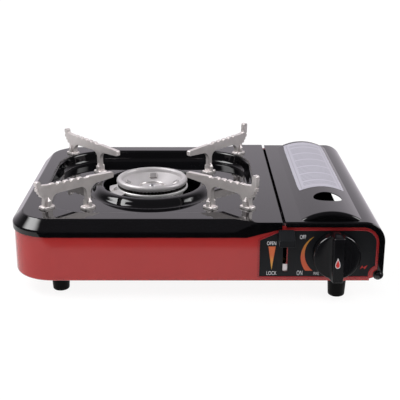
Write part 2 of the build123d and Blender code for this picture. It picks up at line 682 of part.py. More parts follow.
def burner_hub():
    z = HUB_Z
    r = 0.4 * CUP_R
    line = [
        Line((0, z), (r - 1.4, z)),
        Line((r - 1.4, z), (r, z + 1.4)),
        Line((r, z + 1.4), (r, z + 3.0)),
        ThreePointArc((r, z + 3.0), (0.72 * r, z + 5.0), (0.4 * r, z + 5.8)),
        Line((0.4 * r, z + 5.8), (0, z + 5.8)),
        Line((0, z + 5.8), (0, z)),
    ]
    hub = revolve(Plane.XZ * make_face(Curve() + line), axis=Axis.Z)
    for n in range(18):
        hole = Pos(0.74 * r, 0, z + 4.9) * Rot(0, 30, 0) * Cylinder(0.7, 4.0)
        hub -= Rot(0, 0, 20 * n) * hole
    hub -= rod_z(0, 0, 2.0 + FIT, z - 4, z + 9)
    return at_burner(hub)


def burner_screw():
    z = HUB_Z + 5.8
    return at_burner(rod_z(0, 0, 2.0, z - 14, z) + rod_z(0, 0, 3.8, z, z + 2.0))


def cup_clips():
    # four lugs on the slope of the dish
    z = PORT_Z + PORT_H
    r_in = 0.4 * CUP_R + 0.9
    run = CUP_R - 5.9 - r_in
    rise = DISH_DEEP + 1.4
    tilt = atan2(rise, run)
    mid = r_in + 0.62 * run
    high = z - DISH_DEEP + 0.62 * rise
    lug_w = 7.6
    sag = (hypot(mid, lug_w / 2) - mid) * sin(tilt)
    lift = LUG_T / 2 + sag + 0.05
    out = Part()
    for n in range(4):
        at = Pos(mid - lift * sin(tilt), 0, high + lift * cos(tilt))
        lug = Box(6.4, lug_w, LUG_T)
        lug = fillet(lug.edges().filter_by(Axis.Z), 0.9)
        out += at_burner(at * Rot(0, -degrees(tilt), 0) * lug, 90 * n)
    return out


def burner_bracket():
    top = TUBE_Z - 12
    beam = block(-30, 30, -9, 9, top - 1.2, top)
    legs = Part()
    for s in (-1, 1):
        a = s * 30
        b = s * 28.8
        legs += block(min(a, b), max(a, b), -9, 9, FLOOR_TOP, top)
        c = s * 40
        legs += block(min(a, c), max(a, c), -9, 9, FLOOR_TOP, FLOOR_TOP + 1.2)
    return at_burner(beam + legs)


def venturi_tube():
    r0 = CUP_R - 6.5
    mouth = JET_R - 12
    prof = poly((r0, 8.8), (r0, 10.0), (mouth - 12, 10.0), (mouth, 13.0), (mouth, 11.8), (mouth - 12, 8.8))
    tube = revolve(Plane.XY * prof, axis=Axis.X)
    return at_burner(Pos(0, 0, TUBE_Z) * tube, TUBE_ANG)


def jet_holder():
    # upright block that carries the jet and takes the gas pipe
    post = rod_z(JET_X, PIPE_Y, 7.0, FLOOR_TOP, TUBE_Z + 7)
    post -= rod_x(PIPE_Y, PIPE_Z, FEED_PIPE_R + FIT, JET_X, JET_X + 20)
    bore = rod_x(0, TUBE_Z, 2.5 + FIT, JET_R - 20, JET_R)
    return post - at_burner(bore, TUBE_ANG)


def jet_nozzle():
    a = JET_R
    nose = rod_x(0, TUBE_Z, 2.5, a - 9, a - 0.1)
    hexa = rod_x(0, TUBE_Z, 4.0, a - 13.5, a - 8.6)
    body = nose + hexa
    body -= rod_x(0, TUBE_Z, 0.4, a - 20, a)
    return at_burner(body, TUBE_ANG)


def gas_pipe():
    x0 = JET_X + 0.1
    pipe = rod_x(PIPE_Y, PIPE_Z, FEED_PIPE_R, x0, REG_X0 + 6)
    return pipe - rod_x(PIPE_Y, PIPE_Z, FEED_PIPE_R - 0.8, x0 - 1, REG_X0 + 8)


def regulator_body():
    mid = rod_y(KX, KZ, 14.0, REG_Y0, REG_Y1)
    arm = block(REG_X0, KX, REG_Y0 + 3, REG_Y1 + 6, PIPE_Z - 6, KZ + 4)
    arm = fillet(arm.edges().filter_by(Axis.Z), 3.0)
    cup = rod_z(REG_X0 + 17, REG_Y0 + 11, 16.0, KZ, KZ + 15)
    body = mid + arm + cup
    body -= rod_y(KX, KZ, 4.0 + RUN, REG_Y0 - 1, REG_Y0 + 13)
    body -= rod_y(KX, CAN_Z, 5.0 + FIT, REG_Y1 - 8, REG_Y1 + 8)
    body -= block(KX - 14, KX + 14, REG_Y1, REG_Y1 + 8, CAN_Z - 11, CAN_Z + 11)
    return body - rod_x(PIPE_Y, PIPE_Z, FEED_PIPE_R + FIT, REG_X0 - 1, REG_X0 + 7)


def regulator_cap():
    x = REG_X0 + 17
    y = REG_Y0 + 11
    z = KZ + 15
    cap = rod_z(x, y, 17.0, z, z + 2.0) + rod_z(x, y, 7.0, z + 2.0, z + 7.0)
    return fillet(cap.faces().sort_by(Axis.Z)[-1].edges(), 1.0)


def gas_inlet():
    nose = rod_y(KX, CAN_Z, 5.0, REG_Y1 - 7, REG_Y1)
    cup = rod_y(KX, CAN_Z, 8.0, REG_Y1, REG_Y1 + 8)
    return nose + cup - rod_y(KX, CAN_Z, 2.0, REG_Y1 - 2, REG_Y1 + 9)


def collar_guide():
    y0 = REG_Y1 + 11
    wall = block(KX - 34, KX + 31, y0, y0 + 1.2, FLOOR_TOP, CAN_Z + 4)
    wall -= rod_y(KX, CAN_Z, 17.5, y0 - 1, y0 + 3)
    wall -= block(KX - 17.5, KX + 17.5, y0 - 1, y0 + 3, CAN_Z, CAN_Z + 9)
    wall += block(KX - 34, KX + 31, y0 - 9, y0, FLOOR_TOP, FLOOR_TOP + 1.2)
    return wall


def piezo_box():
    return (KX + 15.0, KX + 27.5, TY0 + SHEET + 1.0, FLOOR + 10)


def piezo_igniter():
    x0, x1, y0, z0 = piezo_box()
    body = block(x0, x1, y0, y0 + 13, z0, z0 + 30)
    body = fillet(body.edges().filter_by(Axis.Z), 2.0)
    return body


def lead_y():
    return piezo_box()[2] + 6.5


def lead_z():
    return FLOOR_TOP + 3.4


def electrode_spot():
    a = radians(FLAP_ANG)
    return CX + SPARK_R * cos(a), CY + SPARK_R * sin(a)


def ignition_lead():
    x0, x1, y0, z0 = piezo_box()
    xm = (x0 + x1) / 2
    ex, ey = electrode_spot()
    y = lead_y()
    z = lead_z()
    path = FilletPolyline((xm, y, z0), (xm, y, z), (ex, y, z), (ex, ey, z), (ex, ey, REC_Z - 17), radius=4.0)
    return sweep(Plane(path @ 0, z_dir=path % 0) * Circle(1.2), path=path)


def electrode_insulator():
    x, y = electrode_spot()
    body = rod_z(x, y, 2.6, REC_Z - 17, REC_Z + 3.2) + rod_z(x, y, 4.0, REC_Z - 3.4, REC_Z - 0.4)
    return body - rod_z(x, y, 0.9 + FIT, REC_Z - 12, REC_Z + 5)


def spark_electrode():
    x, y = electrode_spot()
    a = radians(FLAP_ANG)
    px = x - 2.4 * cos(a)
    py = y - 2.4 * sin(a)
    path = FilletPolyline((x, y, REC_Z - 11.9), (x, y, REC_Z + 5.4), (px, py, REC_Z + 6.8), radius=1.2)
    return sweep(Plane(path @ 0, z_dir=path % 0) * Circle(0.9), path=path)


def electrode_bracket():
    # sloping flap beside the burner, held on the rim of its base
    z = REC_Z + 3.3
    r = CUP_R + 0.32
    drop = 2.0
    flap = ring_solid((r, z), (FLAP_R, z - drop), (FLAP_R, z - drop + 1.2), (r, z + 1.2))
    far = 2 * FLAP_R
    rim = [(far * cos(radians(a)), far * sin(radians(a))) for a in (FLAP_ANG - 24, FLAP_ANG, FLAP_ANG + 26)]
    wedge = extrude(Pos(0, 0, z - 4) * poly((0, 0), *rim), amount=8)
    flap = flap & wedge
    a = radians(FLAP_ANG)
    flap -= rod_z(SPARK_R * cos(a), SPARK_R * sin(a), 2.6 + FIT, z - 6, z + 4)
    return at_burner(flap)


def foot(n):
    x, y = FEET[n]
    pad = Pos(x, y, FOOT_H / 2) * Rot(180, 0, 0) * Cone(FOOT_R + 0.4, FOOT_R - 0.6, FOOT_H)
    pad = fillet(pad.faces().sort_by(Axis.Z)[0].edges(), 1.8)
    pad -= rod_z(x, y, 4.2, -1, 5)
    return pad - rod_z(x, y, 2.0 + FIT, 0, FOOT_H + 1)


def foot_screws():
    out = Part()
    for x, y in FEET:
        out += rod_z(x, y, 3.9, 2.6, 5.0) + rod_z(x, y, 2.0 - FIT, 5.0, FLOOR_TOP + 1.2)
    return out


NODES = {
    "body_shell": body_shell,
    "control_panel": control_panel,
    "partition_wall": partition_wall,
    "cartridge_cradle": cartridge_cradle,
    "top_plate": top_plate,
    "support_front_left": lambda: pan_support(225, 27.8),
    "support_front_right": lambda: pan_support(315, 34.0),
    "support_rear_left": lambda: pan_support(135, 27.8),
    "support_rear_right": lambda: pan_support(45, 34.0),
    "support_screws": support_screws,
    "plate_screws": plate_screws,
    "burner_base": burner_base,
    "port_ring": port_ring,
    "burner_cup": burner_cup,
    "burner_hub": burner_hub,
    "burner_screw": burner_screw,
    "cup_clips": cup_clips,
    "burner_bracket": burner_bracket,
    "venturi_tube": venturi_tube,
    "jet_holder": jet_holder,
    "jet_nozzle": jet_nozzle,
    "gas_pipe": gas_pipe,
    "regulator_body": regulator_body,
    "regulator_cap": regulator_cap,
    "gas_inlet": gas_inlet,
    "collar_guide": collar_guide,
    "piezo_igniter": piezo_igniter,
    "ignition_lead": ignition_lead,
    "electrode_insulator": electrode_insulator,
    "spark_electrode": spark_electrode,
    "electrode_bracket": electrode_bracket,
    "lever_bracket": lever_bracket,
    "lever_pivot_pin": lever_pivot_pin,
    "lever_plate": lever_plate,
    "lever_drive_pin": lever_drive_pin,
    "lever_cap": lever_cap,
    "cartridge_carriage": cartridge_carriage,
    "carriage_studs": carriage_studs,
    "lid": lid,
    "hinge_pin_front": hinge_pin_front,
    "hinge_pin_rear": hinge_pin_rear,
    "knob": knob,
    "valve_spindle": valve_spindle,
    "igniter_cam": igniter_cam,
    "foot_front_left": lambda: foot(0),
    "foot_front_right": lambda: foot(1),
    "foot_rear_left": lambda: foot(2),
    "foot_rear_right": lambda: foot(3),
    "foot_screws": foot_screws,
}

os.makedirs("parts", exist_ok=True)
for name, make in NODES.items():
    export_step(make(), "parts/" + name + ".step")
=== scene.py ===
import json
from math import atan2, cos, hypot, pi, radians, sin

import bmesh
import bpy
from mathutils import Matrix, Vector
from mathutils.bvhtree import BVHTree


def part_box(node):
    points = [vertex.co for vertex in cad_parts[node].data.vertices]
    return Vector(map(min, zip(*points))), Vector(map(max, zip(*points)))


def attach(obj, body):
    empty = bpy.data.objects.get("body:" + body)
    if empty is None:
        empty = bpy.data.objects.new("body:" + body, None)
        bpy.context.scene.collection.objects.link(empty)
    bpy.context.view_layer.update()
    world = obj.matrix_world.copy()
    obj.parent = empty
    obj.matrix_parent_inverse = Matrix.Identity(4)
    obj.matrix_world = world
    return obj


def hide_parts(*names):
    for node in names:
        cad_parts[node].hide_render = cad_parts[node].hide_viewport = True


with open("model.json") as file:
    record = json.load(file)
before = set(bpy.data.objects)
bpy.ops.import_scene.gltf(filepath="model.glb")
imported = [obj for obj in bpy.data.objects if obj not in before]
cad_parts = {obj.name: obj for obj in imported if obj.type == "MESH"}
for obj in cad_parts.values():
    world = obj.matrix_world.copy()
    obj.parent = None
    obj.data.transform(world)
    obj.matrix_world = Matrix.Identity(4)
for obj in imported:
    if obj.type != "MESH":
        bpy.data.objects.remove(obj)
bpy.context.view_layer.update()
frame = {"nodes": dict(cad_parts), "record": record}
NODES = frame["nodes"]
SLOT_OF = {part["node"]: part["material_slot"] for part in frame["record"]["subparts"]}

MM = 0.001
WELD = 2e-6  # vertices of a CAD mesh that lie closer than this, in metres, are one
PANEL_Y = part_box("control_panel")[0].y
KNOB_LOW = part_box("knob")[0]
LID_LOW, LID_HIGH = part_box("lid")
PLATE_LOW, PLATE_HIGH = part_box("top_plate")
SHELL_LOW, SHELL_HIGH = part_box("body_shell")
CUP_LOW, CUP_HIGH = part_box("burner_cup")
BURNER = (CUP_LOW + CUP_HIGH) / 2


# Node-tree helpers.

def put(tree, socket, value):
    """Links a socket to another one, or sets its own value."""
    if isinstance(value, bpy.types.NodeSocket):
        tree.links.new(value, socket)
    else:
        socket.default_value = value


def node(tree, kind, inputs=None, **settings):
    made = tree.nodes.new(kind)
    for name, value in settings.items():
        setattr(made, name, value)
    for name, value in (inputs or {}).items():
        put(tree, made.inputs[name], value)
    return made


def maths(tree, operation, first, second=0.0):
    return node(tree, "ShaderNodeMath", {0: first, 1: second}, operation=operation).outputs[0]


def split(tree, vector):
    """The X, Y and Z of a vector."""
    return node(tree, "ShaderNodeSeparateXYZ", {"Vector": vector}).outputs


def start_finish(name, **shader_inputs):
    """A new material with one principled shader. Returns material, tree, shader and object coordinates."""
    material = bpy.data.materials.new(name)
    material.use_nodes = True
    tree = material.node_tree
    tree.nodes.clear()
    out = node(tree, "ShaderNodeOutputMaterial")
    shader = node(tree, "ShaderNodeBsdfPrincipled")
    tree.links.new(shader.outputs["BSDF"], out.inputs["Surface"])
    for key, value in shader_inputs.items():
        shader.inputs[key.replace("_", " ")].default_value = value
    where = node(tree, "ShaderNodeTexCoord").outputs["Object"]
    return material, tree, shader, where


def noise(tree, where, scale, detail=3.0, roughness=0.5):
    made = node(tree, "ShaderNodeTexNoise",
                {"Vector": where, "Scale": scale, "Detail": detail, "Roughness": roughness})
    return made.outputs["Fac"]


def spread(tree, value, low, high, from_low=0.3, from_high=0.7):
    made = node(tree, "ShaderNodeMapRange",
                {"Value": value, "From Min": from_low, "From Max": from_high, "To Min": low, "To Max": high})
    return made.outputs["Result"]


def mix_colour(tree, share, first, second):
    made = node(tree, "ShaderNodeMix", data_type="RGBA")
    put(tree, made.inputs[0], share)
    put(tree, made.inputs[6], (*first, 1.0) if isinstance(first, tuple) else first)
    put(tree, made.inputs[7], (*second, 1.0) if isinstance(second, tuple) else second)
    return made.outputs[2]


def bump(tree, shader, height, depth):
    made = node(tree, "ShaderNodeBump", {"Height": height, "Distance": depth, "Strength": 1.0})
    tree.links.new(made.outputs["Normal"], shader.inputs["Normal"])


# Finishes.

def coated(name, dark, light, rough_low, rough_high, peel, peel_scale=300.0, **shader_inputs):
    """Paint, enamel or moulded plastic: cloudy colour, uneven gloss and a fine orange peel."""
    material, tree, shader, where = start_finish(name, **shader_inputs)
    cloud = noise(tree, where, 25.0, 4.0)
    colour = mix_colour(tree, spread(tree, cloud, 0.0, 1.0), dark, light)
    tree.links.new(colour, shader.inputs["Base Color"])
    gloss = noise(tree, where, 90.0, 5.0, 0.6)
    tree.links.new(spread(tree, gloss, rough_low, rough_high), shader.inputs["Roughness"])
    bump(tree, shader, noise(tree, where, peel_scale, 1.0), peel)
    return material


def metal(name, dark, light, rough_low, rough_high, grain, grain_scale=900.0, **shader_inputs):
    """Bare or plated metal with cloudy tone and a fine grain."""
    settings = {"Metallic": 1.0, **shader_inputs}
    material, tree, shader, where = start_finish(name, **settings)
    cloud = noise(tree, where, 70.0, 6.0, 0.6)
    colour = mix_colour(tree, spread(tree, cloud, 0.0, 1.0), dark, light)
    tree.links.new(colour, shader.inputs["Base Color"])
    fine = noise(tree, where, grain_scale, 4.0, 0.7)
    tree.links.new(spread(tree, fine, rough_low, rough_high), shader.inputs["Roughness"])
    bump(tree, shader, fine, grain)
    return material


def turned(name, dark, light, rough_low, rough_high, depth, spacing):
    """Bright steel with faint rings round the burner's axis, left by pressing and polishing."""
    material, tree, shader, where = start_finish(name, Metallic=0.55)
    centred = node(tree, "ShaderNodeMapping", {"Vector": where, "Location": (-BURNER.x, -BURNER.y, 0.0)})
    part = split(tree, centred.outputs[0])
    radius = maths(tree, "SQRT", maths(tree, "ADD", maths(tree, "MULTIPLY", part["X"], part["X"]),
                                       maths(tree, "MULTIPLY", part["Y"], part["Y"])))
    along = node(tree, "ShaderNodeCombineXYZ", {"X": maths(tree, "DIVIDE", radius, spacing)}).outputs[0]
    rings = noise(tree, along, 1.0, 2.0)
    cloud = noise(tree, where, 60.0, 5.0, 0.6)
    tree.links.new(mix_colour(tree, spread(tree, cloud, 0.0, 1.0), dark, light), shader.inputs["Base Color"])
    tree.links.new(spread(tree, rings, rough_low, rough_high), shader.inputs["Roughness"])
    bump(tree, shader, rings, depth)
    return material


def painted_shell(name):
    """Red paint outside, with painted shade: a deeper red on the bead round the panel, under the lid's edge, and
    near-black on the inside of the sheet.
    """
    material = coated(name, (0.330, 0.0225, 0.0215), (0.342, 0.0245, 0.0235), 0.09, 0.13, 1.5e-6)
    tree = material.node_tree
    shader = tree.nodes["Principled BSDF"]
    paint = shader.inputs["Base Color"].links[0].from_socket
    where = tree.nodes["Texture Coordinate"].outputs["Object"]
    middle = (SHELL_LOW + SHELL_HIGH) / 2
    out = node(tree, "ShaderNodeVectorMath", {0: where, 1: middle}, operation="SUBTRACT").outputs[0]
    facing = node(tree, "ShaderNodeNewGeometry").outputs["True Normal"]
    outward = node(tree, "ShaderNodeVectorMath", {0: facing, 1: out}, operation="DOT_PRODUCT").outputs["Value"]
    behind = split(tree, where)["Y"]
    bead_deep, front_deep = 0.98 * MM, 1.3 * MM
    inward_under, bead_shade_share = -0.004, 0.8
    # Painted shade: near-black on the inside of the sheet, and a deeper red on the bead.
    inside = maths(tree, "MULTIPLY", maths(tree, "LESS_THAN", outward, inward_under),
                   maths(tree, "GREATER_THAN", behind, SHELL_LOW.y + front_deep))
    bead = maths(tree, "LESS_THAN", behind, SHELL_LOW.y + bead_deep)
    bead_shaded = mix_colour(tree, maths(tree, "MULTIPLY", bead, bead_shade_share), paint, (0.215, 0.012, 0.016))
    tree.links.new(mix_colour(tree, inside, bead_shaded, (0.006, 0.005, 0.005)), shader.inputs["Base Color"])
    return material


FINISH = {
    "red_paint": painted_shell("red_paint"),
    "black_enamel": coated("black_enamel", (0.0016, 0.0016, 0.002), (0.0024, 0.0024, 0.003), 0.02, 0.045, 1.2e-6),
    "panel_black": coated("panel_black", (0.007, 0.0075, 0.009), (0.009, 0.0095, 0.0115), 0.32, 0.38, 2e-6,
                          Specular_IOR_Level=0.17),
    "black_plastic": coated("black_plastic", (0.004, 0.004, 0.0048), (0.006, 0.006, 0.007), 0.13, 0.18, 2e-6,
                            Specular_IOR_Level=0.15),
    "black_pin": coated("black_pin", (0.004, 0.004, 0.005), (0.007, 0.007, 0.008), 0.10, 0.16, 3e-6),
    "black_rubber": coated("black_rubber", (0.002, 0.002, 0.002), (0.0035, 0.0035, 0.0035), 0.40, 0.52, 2e-5, 900.0,
                           Specular_IOR_Level=0.08),
    "lead_sleeve": coated("lead_sleeve", (0.60, 0.57, 0.52), (0.68, 0.65, 0.60), 0.45, 0.55, 1e-5),
    "white_ceramic": coated("white_ceramic", (0.42, 0.40, 0.37), (0.50, 0.48, 0.45), 0.18, 0.26, 4e-6),
    "zinc_steel": metal("zinc_steel", (0.50, 0.51, 0.52), (0.66, 0.66, 0.67), 0.28, 0.42, 6e-6),
    "bright_steel": turned("bright_steel", (0.53, 0.508, 0.516), (0.585, 0.562, 0.57), 0.44, 0.52, 4e-6, 0.0009),
    "port_steel": metal("port_steel", (0.035, 0.032, 0.030), (0.07, 0.064, 0.06), 0.45, 0.60, 1e-5),
    "burner_alloy": metal("burner_alloy", (0.62, 0.61, 0.61), (0.72, 0.71, 0.71), 0.36, 0.46, 1e-5, 700.0,
                          Metallic=0.45),
    "silver_casting": metal("silver_casting", (0.66, 0.61, 0.605), (0.78, 0.73, 0.72), 0.38, 0.50, 2e-5, 700.0,
                            Metallic=0.62),
    "brass": metal("brass", (0.58, 0.42, 0.18), (0.70, 0.52, 0.25), 0.22, 0.34, 8e-6),
}


def wear_and_highlight_edge():
    """The paler, smoother metal on rubbed edges, partly wear and partly painted highlight, and on the ring round the
    hub as painted highlight.
    """
    return metal("wear_and_highlight_edge", (0.66, 0.63, 0.62), (0.78, 0.75, 0.74), 0.28, 0.38, 8e-6, Metallic=0.85)


def printed(name, top, bottom, z_low=0.02, z_high=0.07):
    """Printing ink that runs from one colour at its lower end to another at its upper end."""
    material, tree, shader, where = start_finish(name, Specular_IOR_Level=0.3)
    height = split(tree, where)["Z"]
    share = node(tree, "ShaderNodeMapRange", {"Value": height, "From Min": z_low, "From Max": z_high}).outputs[0]
    grain = noise(tree, where, 900.0, 2.0)
    ink = mix_colour(tree, share, bottom, top)
    speck = mix_colour(tree, spread(tree, grain, 0.0, 0.06), ink, (0.02, 0.02, 0.02))
    tree.links.new(speck, shader.inputs["Base Color"])
    tree.links.new(spread(tree, grain, 0.38, 0.48), shader.inputs["Roughness"])
    return material


def ruled_film(name, x_mid, y_low, y_high, half):
    """Pale label film with a thin border and blank ruled lines across it."""
    material, tree, shader, where = start_finish(name, Specular_IOR_Level=0.35)
    part = split(tree, where)
    across = maths(tree, "ABSOLUTE", maths(tree, "SUBTRACT", part["X"], x_mid))
    along = maths(tree, "SUBTRACT", part["Y"], y_low)
    half_long = (y_high - y_low) / 2
    from_middle = maths(tree, "ABSOLUTE", maths(tree, "SUBTRACT", along, half_long))
    border_in, border_half = 3.2 * MM, 0.35 * MM
    rules_in_x, rules_in_y = 6.0 * MM, 9.0 * MM
    pitch, line_share = 4.15 * MM, 0.42
    group_rows, group_share = 6, 0.84
    rule_ink, border_ink = 0.62, 0.45
    inside_x = maths(tree, "LESS_THAN", across, half - rules_in_x)
    inside_y = maths(tree, "LESS_THAN", from_middle, half_long - rules_in_y)
    row = maths(tree, "FRACT", maths(tree, "DIVIDE", along, pitch))
    block = maths(tree, "FRACT", maths(tree, "DIVIDE", along, group_rows * pitch))
    group = maths(tree, "LESS_THAN", block, group_share)
    line = maths(tree, "MULTIPLY", group, maths(tree, "LESS_THAN", row, line_share))
    rules = maths(tree, "MULTIPLY", line, maths(tree, "MULTIPLY", inside_x, inside_y))
    edge_x = maths(tree, "SUBTRACT", half - border_in, across)
    edge_y = maths(tree, "SUBTRACT", half_long - border_in, from_middle)
    edge = maths(tree, "ABSOLUTE", maths(tree, "MINIMUM", edge_x, edge_y))
    border = maths(tree, "LESS_THAN", edge, border_half)
    ink = maths(tree, "MAXIMUM", maths(tree, "MULTIPLY", rules, rule_ink), maths(tree, "MULTIPLY", border, border_ink))
    cloud = noise(tree, where, 35.0, 4.0)
    film = mix_colour(tree, spread(tree, cloud, 0.0, 1.0), (0.385, 0.372, 0.43), (0.415, 0.402, 0.46))
    tree.links.new(mix_colour(tree, ink, film, (0.10, 0.10, 0.13)), shader.inputs["Base Color"])
    tree.links.new(spread(tree, cloud, 0.30, 0.40), shader.inputs["Roughness"])
    bump(tree, shader, noise(tree, where, 500.0, 2.0), 2e-6)
    return material


# Pieces.

def add_piece(name, mesh, body, slot=None, replaced=()):
    piece = bpy.data.objects.new(name, mesh)
    bpy.context.scene.collection.objects.link(piece)
    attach(piece, body)
    if replaced:
        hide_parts(*replaced)


def shade(mesh, angle=30.0):
    for face in mesh.polygons:
        face.use_smooth = True
    mesh.set_sharp_from_angle(angle=radians(angle))


def closed_mesh(name, shape, finish):
    """A mesh from a closed shape, with its faces turned outward."""
    bmesh.ops.recalc_face_normals(shape, faces=shape.faces)
    mesh = bpy.data.meshes.new(name)
    shape.to_mesh(mesh)
    shape.free()
    mesh.materials.append(finish)
    return mesh


def add_prism(shape, front, back):
    """Two matching outlines of vertices as a closed block."""
    for k in range(len(front)):
        n = (k + 1) % len(front)
        shape.faces.new((back[k], back[n], front[n], front[k]))
    shape.faces.new(front)
    shape.faces.new(list(reversed(back)))


def finish_nodes():
    for name, slot in SLOT_OF.items():
        mesh = NODES[name].data
        mesh.materials.clear()
        mesh.materials.append(FINISH[slot])


def rubbed_and_highlit_copy(name, face_finish, wear_and_highlight_finish, width, slot):
    """A CAD piece with its edges broken, the bevels in paler metal: partly wear, partly painted highlight. Its flat
    faces stay flat, and curved ones smooth.
    """
    flat_within, sharp_over, curve_facet = radians(0.3), radians(35), 2e-6
    mesh = NODES[name].data.copy()
    shape = bmesh.new()
    shape.from_mesh(mesh)
    bmesh.ops.remove_doubles(shape, verts=shape.verts, dist=WELD)
    bmesh.ops.dissolve_limit(shape, angle_limit=flat_within, verts=shape.verts, edges=shape.edges)
    shape.to_mesh(mesh)
    shape.free()
    mesh.materials.clear()
    mesh.materials.append(face_finish)
    mesh.materials.append(wear_and_highlight_finish)
    rough = bpy.data.objects.new(name + "_rough", mesh)
    bpy.context.scene.collection.objects.link(rough)
    ease = rough.modifiers.new("broken_edges", "BEVEL")
    ease.width = width
    ease.segments = 2
    ease.limit_method = "ANGLE"
    ease.angle_limit = sharp_over
    ease.material = 1
    done = bpy.data.meshes.new_from_object(rough.evaluated_get(bpy.context.evaluated_depsgraph_get()))
    bpy.data.objects.remove(rough)
    shade(done, 40.0)
    for face in done.polygons:
        face.use_smooth = face.material_index == 1 or face.area < curve_facet
    add_piece(name + "_rubbed_highlit", done, "stove", slot, [name])


def turned_ring(name, profile, finish, slot, steps=96):
    """A closed ring round the burner's axis. The profile is (radius, height) in millimetres."""
    shape = bmesh.new()
    rings = []
    for k in range(steps):
        x, y = cos(2 * pi * k / steps) * MM, sin(2 * pi * k / steps) * MM
        rings.append([shape.verts.new((BURNER.x + r * x, BURNER.y + r * y, z * MM)) for r, z in profile])
    for k in range(steps):
        here, after = rings[k], rings[(k + 1) % steps]
        for i in range(len(profile)):
            n = (i + 1) % len(profile)
            shape.faces.new((here[i], after[i], after[n], here[n]))
    mesh = closed_mesh(name, shape, finish)
    shade(mesh, 50.0)
    add_piece(name, mesh, "stove", slot)


def flat_mark(name, outlines, face_y, finish, body, rise=0.05):
    """Thin printed shapes on a face that looks to the front. Outlines are (x, z) in millimetres."""
    shape = bmesh.new()
    for outline in outlines:
        back = [shape.verts.new((x * MM, face_y, z * MM)) for x, z in outline]
        front = [shape.verts.new((x * MM, face_y - rise * MM, z * MM)) for x, z in outline]
        add_prism(shape, front, back)
    add_piece(name, closed_mesh(name, shape, finish), body)


def arc_through(start, middle, end, count):
    """Points on the circular arc through three points."""
    (ax, ay), (bx, by), (cx, cy) = start, middle, end
    d = 2 * (ax * (by - cy) + bx * (cy - ay) + cx * (ay - by))
    a2, b2, c2 = ax * ax + ay * ay, bx * bx + by * by, cx * cx + cy * cy
    ox = (a2 * (by - cy) + b2 * (cy - ay) + c2 * (ay - by)) / d
    oy = (a2 * (cx - bx) + b2 * (ax - cx) + c2 * (bx - ax)) / d
    radius = hypot(ax - ox, ay - oy)
    first, last = (atan2(y - oy, x - ox) % (2 * pi) for x, y in (start, end))
    turn = [first + (last - first) * k / (count - 1) for k in range(count)]
    return [(ox + radius * cos(a), oy + radius * sin(a)) for a in turn]


def swept_mark(inner, outer):
    """Quads between two lines of points, for a mark that changes width."""
    return [[inner[k], inner[k + 1], outer[k + 1], outer[k]] for k in range(len(inner) - 1)]


def word(name, text, place, face_y, finish, body):
    """A short printed word that fills place, which is x, z, width and height in millimetres."""
    data = bpy.data.curves.new(name, "FONT")
    data.body = text
    thin = 0.02 * MM
    data.extrude = thin
    holder = bpy.data.objects.new(name + "_type", data)
    bpy.context.scene.collection.objects.link(holder)
    bpy.context.view_layer.update()
    mesh = bpy.data.meshes.new_from_object(holder.evaluated_get(bpy.context.evaluated_depsgraph_get()))
    bpy.data.objects.remove(holder)
    x, z, wide, high = (value * MM for value in place)
    xs = [v.co.x for v in mesh.vertices]
    ys = [v.co.y for v in mesh.vertices]
    grow = Matrix.Diagonal((wide / (max(xs) - min(xs)), high / (max(ys) - min(ys)), 1.0, 1.0))
    start = Matrix.Translation((-min(xs), -min(ys), 0.0))
    upright = Matrix.Translation((x, face_y - thin, z)) @ Matrix.Rotation(radians(90), 4, "X")
    mesh.transform(upright @ grow @ start)
    mesh.materials.clear()
    mesh.materials.append(finish)
    add_piece(name, mesh, body)


finish_nodes()
GRIP = coated("grip_plastic", (0.008, 0.0085, 0.010), (0.011, 0.0115, 0.013), 0.32, 0.42, 3e-6, Specular_IOR_Level=0.1)
NODES["lever_cap"].data.materials[0] = GRIP
# Paler, smoother metal on broken edges and the hub ring: partly wear, partly painted highlight.
WEAR_AND_HIGHLIGHT_EDGE = wear_and_highlight_edge()
for support in ("support_front_left", "support_front_right", "support_rear_left", "support_rear_right"):
    rubbed_and_highlit_copy(support, FINISH["silver_casting"], WEAR_AND_HIGHLIGHT_EDGE, 0.45 * MM, "silver_casting")
# Painted shade: the clips' faces are a darker copy of the burner's steel, and their edges get the painted highlight.
CLIP_SHADED_FACE = metal("clip_shaded_face", (0.30, 0.29, 0.29), (0.40, 0.385, 0.385), 0.40, 0.50, 8e-6, Metallic=0.7)
rubbed_and_highlit_copy("cup_clips", CLIP_SHADED_FACE, WEAR_AND_HIGHLIGHT_EDGE, 0.55 * MM, "bright_steel")
HUB_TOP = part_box("burner_hub")[1].z / MM
RING = [(12.5, -2.6), (12.7, -1.0), (13.0, 0.0), (13.4, 0.4), (13.9, 0.3), (14.3, -0.3), (14.6, -1.4), (14.7, -2.6)]
# The hub ring in the paler edge metal is painted highlight.
turned_ring("hub_ring", [(r, HUB_TOP + z) for r, z in RING], WEAR_AND_HIGHLIGHT_EDGE, "bright_steel")


# Repeated forms, made by geometry nodes.

